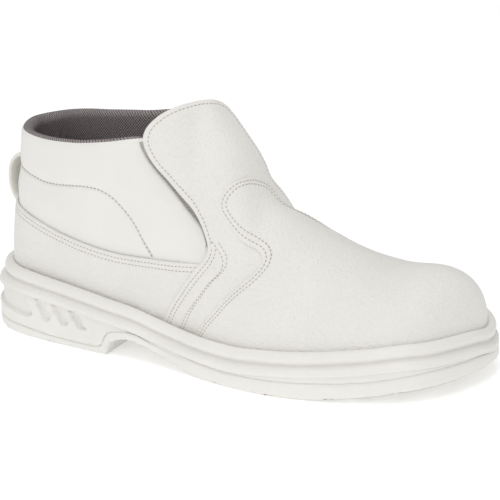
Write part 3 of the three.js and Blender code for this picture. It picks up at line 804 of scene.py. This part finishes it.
def upper_level(skin):
    """Heights of the outside: padding, seam and trench behind the flap."""
    z, flap, d = skin["z"], skin["flap"], skin["seam"]
    back = 1 - smooth(*PAD_SIDES, near_place(skin["t"]))
    reach = np.interp(z, TRENCH["rise"], TRENCH["reach"])
    ahead = smooth(-reach - 0.8, -reach + 0.5, flap)
    swell = smooth(*PAD_START, -skin["counter"]) * (1 - smooth(-reach - 6, -reach, flap) * PAD_BY_FLAP)
    width = np.where(d < 0, SEAM_PINCH["above"], SEAM_PINCH["under"])
    pinch = bell(d, SEAM_PINCH["share"], width)
    line = bell(d, *SEAM_DENT) * smooth(0, 2, -skin["counter"])
    pad = (COLLAR_PAD * swell * (1 - pinch) - line) * back * (1 - ahead)
    fade = smooth(*TRENCH["start"], z) * (1 - 0.8 * smooth(*TRENCH["fade"], z))
    trench = TRENCH["depth"] * ahead * fade * (1 - smooth(*TRENCH["ahead"], flap))
    return pad - trench - OVERLAY - GAP


def lining_folds(t, z):
    """Soft upright folds of the lining inside the heel."""
    away = t - FOLDS["at"]
    wave = np.cos(away * 2 * math.pi / FOLDS["pitch"]) * bell(away, FOLDS["depth"], FOLDS["width"])
    return wave * smooth(*FOLDS["rise"], z) * (1 - smooth(*FOLDS["fade"], z))


def add_fields(skin, height):
    """Give a skin its distances from edges; returns its places."""
    base, _ = surface(skin["t"], skin[height])
    for name, values in edge_fields(base).items():
        skin[name] = values
    skin["z"] = base[:, 2]
    return base


def upper_skin(t, rows):
    """Rows from the sole to the rim, with their fields."""
    skin = Skin(t, rows)
    skin["v"] = skin["w"] * collar_top(skin["t"])
    base = add_fields(skin, "v")
    skin["seam"] = distance(side_view(base), SEAM_LINE)
    return skin


def upper_points(skin):
    return raised(skin["t"], skin["v"], upper_level(skin))


def lining_points(t, top, rows=50):
    """Rows of the lining from the rim down, and their places on the cloth."""
    at = np.repeat(t, rows)
    v = (top[:, None] * np.linspace(1, 0, rows)).ravel()
    z = surface(at, v)[0][:, 2]
    padded = (1 - smooth(*PAD_SIDES, near_place(at))) * smooth(*PAD_WALL, z)
    wall = WALL + (COLLAR_WALL - WALL) * padded
    level = COLLAR_PAD * padded - OVERLAY - GAP - wall + lining_folds(at, z)
    down = CLOTH["lining"] + (np.repeat(top, rows) - v) * CLOTH["up"]
    return raised(at, v, level).reshape(len(t), rows, 3), np.column_stack([at * CLOTH["around"], down])


def rim_points(t, outer, inner, steps=15):
    """Half-round rows over the rim, and their places on the cloth."""
    turns = np.linspace(0, math.pi, steps)
    lift = np.linalg.norm(outer - inner, axis=1) / 2
    arc = outer[:, None] + (inner - outer)[:, None] * ((1 - np.cos(turns)) / 2)[None, :, None]
    arc[:, :, 2] += lift[:, None] * np.sin(turns)[None, :]
    over = np.tile(CLOTH["up"] + turns * CLOTH["rim"], len(t))
    return arc, np.column_stack([np.repeat(t * CLOTH["around"], steps), over])


def grid_faces(grid, offset, keep):
    """Triangles between the kept rows of a grid, and their columns."""
    rows, cols = grid.shape[:2]
    i, j = np.meshgrid(np.arange(rows - 1), np.arange(cols - 1), indexing="ij")
    good = (keep[:-1] & keep[1:])[i.ravel()]
    i, j = i.ravel()[good], j.ravel()[good]
    k = offset + i * cols + j
    faces = [np.column_stack([k, k + cols, k + cols + 1]), np.column_stack([k, k + cols + 1, k + 1])]
    return np.concatenate(faces), np.concatenate([j, j])


# Materials of the upper, in order, and the columns of the rim that are leather
UPPER_MATERIALS = [SMOOTH, LINING, ELASTIC_PAINTED_SHADE]
# The elastic mark carries the painted shade of the trench by the flap
LEATHER_MARK, LINING_MARK, ELASTIC_SHADE_MARK = range(len(UPPER_MATERIALS))
LEATHER_COLUMNS = 4


def outside_marks(skin):
    """Elastic, darkened as painted shade of the trench, along the flap's edge and under the flap; leather
    elsewhere.
    """
    covered = skin["flap"][skin.tri].mean(1) > ELASTIC_SHADE_FROM["flap"]
    high = skin["z"][skin.tri].mean(1) > ELASTIC_SHADE_FROM["z"]
    return np.where(covered & high, ELASTIC_SHADE_MARK, LEATHER_MARK)


def make_upper():
    """Outside, rim and lining as one padded skin; returns the outside."""
    t = np.linspace(0, ROUND, 441)
    t = np.unique(np.concatenate([t, [COLLAR_FRONT, ROUND - COLLAR_FRONT]]))
    outside = upper_skin(t, np.linspace(0, 1, 70))
    outside.split("seam", -2, -1, -0.4, 0, 0.4, 1, 2)
    outside.split("flap", -4.2, -3.4, -2.6, -1.8)
    outer = upper_points(outside)

    top = upper_skin(t, np.array([1.0]))
    inside, inside_cloth = lining_points(t, top["v"])
    rim, rim_cloth = rim_points(t, upper_points(top), inside[:, 0])
    rim_faces, rim_columns = grid_faces(rim, len(outer), near_place(t) <= COLLAR_FRONT)
    inside_faces, _ = grid_faces(inside, len(outer) + rim[..., 0].size, np.ones(len(t), bool))

    points = np.concatenate([outer, rim.reshape(-1, 3), inside.reshape(-1, 3)])
    faces = np.concatenate([outside.tri, rim_faces, inside_faces])
    outside_cloth = np.column_stack([outside["t"] * CLOTH["around"], outside["v"] * CLOTH["up"]])
    cloth = np.concatenate([outside_cloth, rim_cloth, inside_cloth])
    marks = np.concatenate([
        outside_marks(outside),
        np.where(rim_columns < LEATHER_COLUMNS, LEATHER_MARK, LINING_MARK),
        np.full(len(inside_faces), LINING_MARK),
    ])
    first, tri, good = welded(points, faces)
    obj = make_object(
        "upper_padded", points[first], tri, UPPER_MATERIALS, marks[good], cloth[first], "upper"
    )
    return outside


def everywhere(col):
    return np.ones(len(col["t"]), bool)


def place_lines(skin, name, level, shown):
    """Parts of a skin's lines along a level where stitches show."""
    lines = []
    for rows in skin.trace(name, level):
        good = shown(dict(zip(skin.names, rows.T)))
        breaks = np.flatnonzero(np.diff(good.astype(int)) != 0) + 1
        for part, flags in zip(np.split(rows, breaks), np.split(good, breaks)):
            if flags[0] and len(part) > 3:
                lines.append(part)
    return lines


def stitch_rings(length):
    """Rings along one stitch: place, radius and height of each."""
    radius = STITCH["radius"]
    along = np.array([-0.5, -0.42, -0.2, 0.2, 0.42, 0.5]) * length
    round_it = np.array([0.25, 0.75, 1.0, 1.0, 0.75, 0.25]) * radius
    height = np.array([-0.35, -0.15, 0, 0, -0.15, -0.35]) * radius * 1.6 - STITCH["sink"]
    return list(zip(along, round_it, height))


def tube_faces(start, rings, sides):
    """Faces of a closed tube whose points start at a number."""
    ring = [list(range(start + i * sides, start + (i + 1) * sides)) for i in range(rings)]
    faces = [
        [low[j - 1], low[j], high[j], high[j - 1]]
        for low, high in zip(ring, ring[1:])
        for j in range(sides)
    ]
    return faces + [ring[0][::-1], ring[-1]]


def stitch_run(points, normals, pitch, start):
    """Rounded stitches along a line; start numbers their first point."""
    step = np.linalg.norm(np.diff(points, axis=0), axis=1)
    run = np.concatenate([[0], np.cumsum(step)])
    count = int(run[-1] / pitch)
    rings = stitch_rings(STITCH["length"] * pitch / STITCH["pitch"])
    angles = np.arange(6) * math.pi / 3
    verts, faces = [], []
    for k in range(count):
        at = (k + 0.5) * run[-1] / count
        spot = [np.interp(at + s, run, points[:, c]) for s in (-0.4, 0, 0.4) for c in range(3)]
        before, centre, after = np.array(spot).reshape(3, 3)
        along = after - before
        along /= np.linalg.norm(along)
        normal = np.array([np.interp(at, run, normals[:, c]) for c in range(3)])
        normal -= along * (normal @ along)
        normal /= np.linalg.norm(normal)
        side = np.cross(along, normal)
        faces += tube_faces(start + len(verts), len(rings), len(angles))
        for x, r, height in rings:
            middle = centre + along * x + normal * height
            verts += [middle + r * (normal * math.sin(a) + side * math.cos(a)) for a in angles]
    return verts, faces


def sew(name, skin, rows, level, pitch=STITCH["pitch"]):
    """Stitches of one panel; a row is a field, its level and where it shows."""
    verts, faces = [], []
    for field, at, shown in rows:
        for line in place_lines(skin, field, at, shown):
            col = dict(zip(skin.names, line.T))
            v = col["v"] if "v" in col else col["w"]
            points, normal = raised(col["t"], v, level(col)), surface(col["t"], v)[1]
            new_verts, new_faces = stitch_run(points, normal, pitch, len(verts))
            verts += new_verts
            faces += new_faces
    make_object(name, np.array(verts), faces, [THREAD])


# Grid of each panel: middle and half width round the foot, points around and
# up; and how far a panel runs on under the next one
GRIDS = {"vamp": (10, 5.8, 361, 80), "flap": (10, 7.4, 501, 90), "counter": (0, 5.6, 401, 80)}
UNDER_VAMP = 3.5
UNDER_FLAP = 3.0


def panel_skin(panel):
    """Rows from the sole to the ridge, with their fields."""
    middle, half, around, up = GRIDS[panel]
    skin = Skin(np.linspace(middle - half, middle + half, around), np.linspace(0, 1, up))
    return skin, add_fields(skin, "w")


# Levels of the cuts along a panel's edge, and about each row of stitches
EDGE_LEVELS = (0.12, 0.35, 0.8)
ROW_SHIFTS = (-0.7, -0.3, 0, 0.3, 0.7)


def row_levels(rows):
    return [row + shift for row in rows for shift in ROW_SHIFTS]


def creases(p):
    """Height of the troughs and ridges across the vamp."""
    x, _, z = p.T
    total = np.zeros(len(p))
    for at, lean, depth, width, low in CREASES:
        d = x - at - lean * (z - CREASE_MIDDLE)
        total += bell(d, depth, width) * smooth(low - CREASE_FADE, low + CREASE_FADE, z)
    return total


def vamp_level(col):
    return EDGE_SINK + rolled(col["vamp"]) + furrow(col["vamp"], VAMP_ROWS)


def make_vamp():
    skin, _ = panel_skin("vamp")
    skin.keep("vamp")
    skin.split("vamp", *EDGE_LEVELS, *row_levels(VAMP_ROWS))
    base, _ = surface(skin["t"], skin["w"])
    outer = vamp_level(skin) + creases(base)
    shell_object("vamp_panel", skin, outer, -OVERLAY - INSIDE_SINK, "vamp")
    sew("vamp_stitches", skin, [("vamp", row, everywhere) for row in VAMP_ROWS], vamp_level)


def flap_lift(col):
    """How far the flap stands off along its free edges."""
    outer = (1 - smooth(0, FLAP_LIFT_WIDTH, col["outer"])) * smooth(*LIFT_RISE, col["z"])
    inner = (1 - smooth(0, FLAP_LIFT_WIDTH, col["inner"])) * smooth(*INNER_LIFT_RISE, col["z"])
    return FLAP_LIFT * np.maximum(outer, inner)


def flap_level(col):
    """Heights of the flap and its wings."""
    d, z = col["flap"], col["z"]
    free = smooth(*FREE_EDGE_FROM, z)
    level = flap_lift(col) - FLAP_DIP["depth"] * smooth(*FLAP_DIP["by_vamp"], col["vamp"]) + rolled(d)
    level = level + furrow(d, FLAP_ROWS) * free + furrow(d, WING_EDGE_ROWS) * (1 - free)
    for name in WING_FIELDS:
        level = level + furrow(col[name], (0.0,)) * (1 - smooth(*WING_ROWS_TO, z))
    return level


def on_free_edge(col):
    return (col["z"] > 73.5) & (col["vamp"] < 0)


def on_wing_edge(col):
    return (col["z"] < 73) & (col["z"] > 10) & (col["vamp"] < -1)


def on_wing(col):
    return (col["z"] < 76.5) & (col["z"] > 10) & (col["vamp"] < -1) & (col["flap"] > 1.5)


def make_flap():
    skin, base = panel_skin("flap")
    for name, line in zip(WING_FIELDS, WING_LINES):
        skin[name] = distance(turned(base), line)
    skin.keep("flap")
    skin.keep("vamp", UNDER_VAMP, below=True)
    skin.split("flap", *EDGE_LEVELS, *row_levels(FLAP_ROWS), *row_levels(WING_EDGE_ROWS))
    for name in WING_FIELDS:
        skin.split(name, -0.5, 0, 0.5)
    outer = flap_level(skin)
    inner = np.minimum(flap_lift(skin) - OVERLAY - INSIDE_SINK, outer - 0.3)
    shell_object("flap_panel", skin, outer, inner, "instep_flap")
    rows = [("flap", row, on_free_edge) for row in FLAP_ROWS]
    rows += [("flap", row, on_wing_edge) for row in WING_EDGE_ROWS]
    rows += [(name, 0.0, on_wing) for name in WING_FIELDS]
    sew("flap_stitches", skin, rows, flap_level)


def counter_level(col):
    d = col["counter"]
    dip = COUNTER_DIP["depth"] * smooth(*COUNTER_DIP["by_flap"], col["flap"])
    return rolled(d) + furrow(d, COUNTER_ROWS) - dip - EDGE_SINK


def behind_flap(col):
    return col["flap"] < 0


def make_counter():
    skin, _ = panel_skin("counter")
    skin.keep("counter")
    skin.keep("flap", UNDER_FLAP, below=True)
    skin.split("counter", *EDGE_LEVELS, *row_levels(COUNTER_ROWS))
    shell_object("counter_panel", skin, counter_level(skin), -OVERLAY - INSIDE_SINK, "heel_counter")
    rows = [("counter", row, behind_flap) for row in COUNTER_ROWS]
    sew("counter_stitches", skin, rows, counter_level)


def on_collar(col):
    return (col["flap"] < -3.5) & (col["counter"] < -0.5)


def collar_thread_level(col):
    return np.full_like(col["t"], -OVERLAY - GAP - EDGE_SINK)


def make_collar_stitches(outside):
    sew("collar_stitches", outside, [("seam", 0.0, on_collar)], collar_thread_level, COLLAR_STITCH_PITCH)


def side_height(along, k):
    """Height on the sole's side at step k of the side table."""
    low, high = ground(along), groove(along)
    base = np.stack([np.where(row[0] == 0, low, high) + row[1] for row in SIDE], 1)
    last = len(SIDE) - 2
    i = np.clip(np.floor(k).astype(int), 0, last)
    rows = np.arange(len(along))

    def secant(j):
        j = np.clip(j, 0, last)
        return base[rows, j + 1] - base[rows, j]

    leave, arrive = even_slope(secant(i - 1), secant(i)), even_slope(secant(i), secant(i + 1))
    return eased(k - i, base[rows, i], base[rows, i + 1], leave, arrive)


side_out = steady(np.arange(len(SIDE)), SIDE[:, 2])


def side_profile(t, k, out=0.0):
    """Points of the sole's side, and their heights over the seam."""
    along = outline_at(t, np.zeros_like(t))[0][:, 0] / LENGTH + 0.5
    z = side_height(along, k)
    behind = 1 - smooth(0, HEEL_LEAN["along"], along)
    lean = HEEL_LEAN["out"] * smooth(HEEL_LEAN["from_z"], HEEL_LEAN["to_z"], z) * behind
    p, _ = outline_at(t, side_out(k) + out - lean)
    drop = INNER_TOE_DROP["down"] * smooth(INNER_TOE_DROP["along"], 1, along)
    drop = drop * smooth(0, INNER_TOE_DROP["over"], p[:, 1]) * smooth(2, 4, k)
    return np.column_stack([p, z - drop]), z - seam(along)


def heel_marks():
    """Outlines of the slanted slots and the recess round the back."""
    low, width = SLOTS["low"], SLOTS["width"]
    marks = [RECESS]
    for k in range(SLOTS["count"]):
        x = SLOTS["first"] + k * SLOTS["pitch"]
        foot = x + SLOTS["lean"]
        top = float(groove(x / LENGTH + 0.5)) - SLOTS["under"]
        marks.append([(x, top), (foot, low), (foot + width, low), (x + width, top)])
    return [np.array(mark, float) for mark in marks]


def sole_side(t):
    """The side of the sole, cut along its seam and the edges of its marks."""
    steps = np.concatenate([np.linspace(0, 3, 13), np.linspace(3, len(SIDE) - 1, 61)[1:]])
    skin = Skin(t, steps)
    points, over = side_profile(skin["t"], skin["w"])
    skin["seam"] = over
    skin["mark"] = np.max([distance(side_view(points), mark, True) for mark in heel_marks()], 0)
    skin.split("seam", -0.5, -0.2, 0, 0.2, 0.5)
    skin.split("mark", -1.3, -1.0, -0.7, -0.3, 0.0, 0.3, 0.6)
    return skin


def side_points(skin):
    """The side with its seam line, and its marks sunk within a raised edge."""
    dent = SLOT_DEPTH * smooth(-0.3, 0.6, skin["mark"])
    rim = bell(skin["mark"] + MARK_RIM_AT, *MARK_RIM)
    marks = (rim - dent) * (skin["seam"] > 0.4)
    return side_profile(skin["t"], skin["w"], marks - bell(skin["seam"], *SIDE_SEAM_DENT))[0]


def in_channel(x, starts):
    """How far inside the nearest channel of the tread each x lies."""
    return np.max([LUG_GAP / 2 - np.abs(x - start - LUG_GAP / 2) for start in starts], 0)


CHANNELS = np.concatenate([np.arange(*run, LUG_PITCH) for run in LUG_RUNS]).astype(float)
NOTCHED = CHANNELS[::2]


def underside(t):
    """The tread from its rim to the middle, with channels between lugs."""
    skin = Skin(t, np.linspace(0, 1, 34))
    rim, _ = side_profile(skin["t"], np.zeros(len(skin["t"])))
    spine_x = np.clip(rim[:, 0], *SPINE_ENDS)
    spine = np.column_stack([spine_x, MIDDLE + toe_turn(spine_x)])
    flat = rim[:, :2] + skin["w"][:, None] * (spine - rim[:, :2])
    skin["x"], skin["y"] = flat.T
    skin["bar"] = in_channel(flat[:, 0], CHANNELS)
    skin["notch"] = in_channel(flat[:, 0], NOTCHED)
    skin["border"] = np.linalg.norm(flat - rim[:, :2], axis=1) - SIDE[0, 2] - LUG_BORDER
    skin.split("bar", -0.1, 0.25)
    skin.split("border", -0.1, 0.3)
    deep = LUG_DEPTH * smooth(-0.1, 0.25, skin["bar"]) * smooth(-0.1, 0.3, skin["border"])
    shallow = NOTCH * smooth(-0.1, 0.25, skin["notch"])
    z = ground(skin["x"] / LENGTH + 0.5) + np.maximum(deep, shallow)
    return np.column_stack([skin["x"], skin["y"], z]), skin.tri[:, ::-1]


def notched(points):
    """The side with its foot lifted where a channel comes out."""
    low = ground(points[:, 0] / LENGTH + 0.5)
    lift = NOTCH * smooth(-0.6, 0.2, in_channel(points[:, 0], NOTCHED))
    z = np.maximum(points[:, 2], low + lift * (points[:, 2] < low + NOTCH))
    return np.column_stack([points[:, :2], z])


def make_sole():
    t = np.linspace(0, ROUND, 561)
    skin = sole_side(t)
    points = side_points(skin)
    above = skin["seam"][skin.tri].mean(1) > 0
    first, faces, _ = welded(points, skin.tri[above])
    make_object("midsole_body", points[first], faces, [SOLE_PAINT], node="midsole")
    under, under_faces = underside(t)
    both = np.concatenate([notched(points), under])
    faces = np.concatenate([skin.tri[~above], under_faces + len(points)])
    first, faces, _ = welded(both, faces)
    make_object("outsole_tread", both[first], faces, [SOLE_PAINT], node="outsole")


def loop_ring(turn):
    """One section of the band, with rounded edges."""
    root, half, band = LEG_PIVOT, LOOP["width"] / 2, LOOP["band"]
    width = np.array([-half, -half + 0.2, -half + 0.7, half - 0.7, half - 0.2, half]) + MIDDLE + 0.02
    shrink = np.array([0.9, 0.35, 0, 0, 0.35, 0.9]) * band / 2
    y, inset = np.concatenate([[width, shrink], [width[::-1], band - shrink[::-1]]], 1)
    x = root + (LOOP["back"] - root + inset) * max(math.cos(turn), 0) ** LOOP["square"]
    z = LOOP["middle"] + (LOOP["half"] - inset) * math.sin(turn)
    return np.column_stack([x, y, z])


def make_loop():
    points = np.array([loop_ring(turn) for turn in np.linspace(-math.pi / 2, math.pi / 2, 41)])
    rings, n, _ = points.shape
    faces = tube_faces(0, rings, n)[:-2]
    make_object("loop_band", points.reshape(-1, 3), faces, [WEBBING], node="pull_loop")


def cover_insole():
    slots = bpy.data.objects["insole"].data.materials
    slots.clear()
    slots.append(INSOLE_CLOTH)


FLOOR = {"half": 6.0, "white": 0.97, "glow": 0.26}
WORLD_STRENGTH = 0.53
LIGHTS_AIM = Vector((0, 0, 0.06))


def make_floor():
    half, white = FLOOR["half"], FLOOR["white"]
    mesh = bpy.data.meshes.new("floor")
    corners = [(x * half, y * half, 0) for x, y in ((-1, -1), (1, -1), (1, 1), (-1, 1))]
    mesh.from_pydata(corners, [], [range(4)])
    paint = Paint("floor_paint", (white, white, white), 0.9, 0.0)
    socket(paint.shader, "Emission Color", (1, 1, 1, 1))
    socket(paint.shader, "Emission Strength", FLOOR["glow"])
    mesh.materials.append(paint.material)
    linked("floor", mesh)


def make_light(name, place, size, power):
    light = bpy.data.lights.new(name, "AREA")
    light.shape = "DISK"
    light.size = size
    light.energy = power
    obj = linked(name, light)
    obj.location = place
    obj.rotation_euler = (LIGHTS_AIM - Vector(place)).to_track_quat("-Z", "Y").to_euler()


def make_world():
    world = bpy.data.worlds.new("studio")
    world.use_nodes = True
    background = world.node_tree.nodes["Background"]
    socket(background, "Color", (1, 1, 1, 1))
    socket(background, "Strength", WORLD_STRENGTH)
    bpy.context.scene.world = world
    bpy.context.scene.view_settings.view_transform = "Standard"


# Camera as in the photo: way back from the target, distance and target in
# millimetres, focal length and picture width in its pixels
CAMERA = {
    "back": (0.47103, -0.81586, 0.33545),
    "target": (10.6, 2.05, 58.65),
    "distance": 1935,
    "roll": math.radians(-2.36),
    "focal": 3533,
    "picture": 500,
    "sensor": 36,
}


def make_camera():
    back = Vector(CAMERA["back"]).normalized()
    level = Vector((0, 0, 1)).cross(back).normalized()
    right = Matrix.Rotation(CAMERA["roll"], 3, back) @ level
    up = back.cross(right)
    place = (Vector(CAMERA["target"]) + back * CAMERA["distance"]) * MM
    camera = bpy.data.cameras.new("camera")
    camera.sensor_width = CAMERA["sensor"]
    camera.lens = CAMERA["focal"] / CAMERA["picture"] * CAMERA["sensor"]
    camera.clip_end = 50
    obj = linked("camera", camera)
    obj.matrix_world = Matrix([(*right, 0), (*up, 0), (*back, 0), (*place, 1)]).transposed()
    bpy.context.scene.camera = obj


upper_outside = make_upper()
make_vamp()
make_flap()
make_counter()
make_sole()
make_loop()
make_collar_stitches(upper_outside)
cover_insole()
make_floor()
make_light("key", (0.3, -2.0, 0.9), size=1.8, power=7)
make_light("top", (0.2, -0.4, 2.2), size=2.0, power=18.5)
make_world()
make_camera()
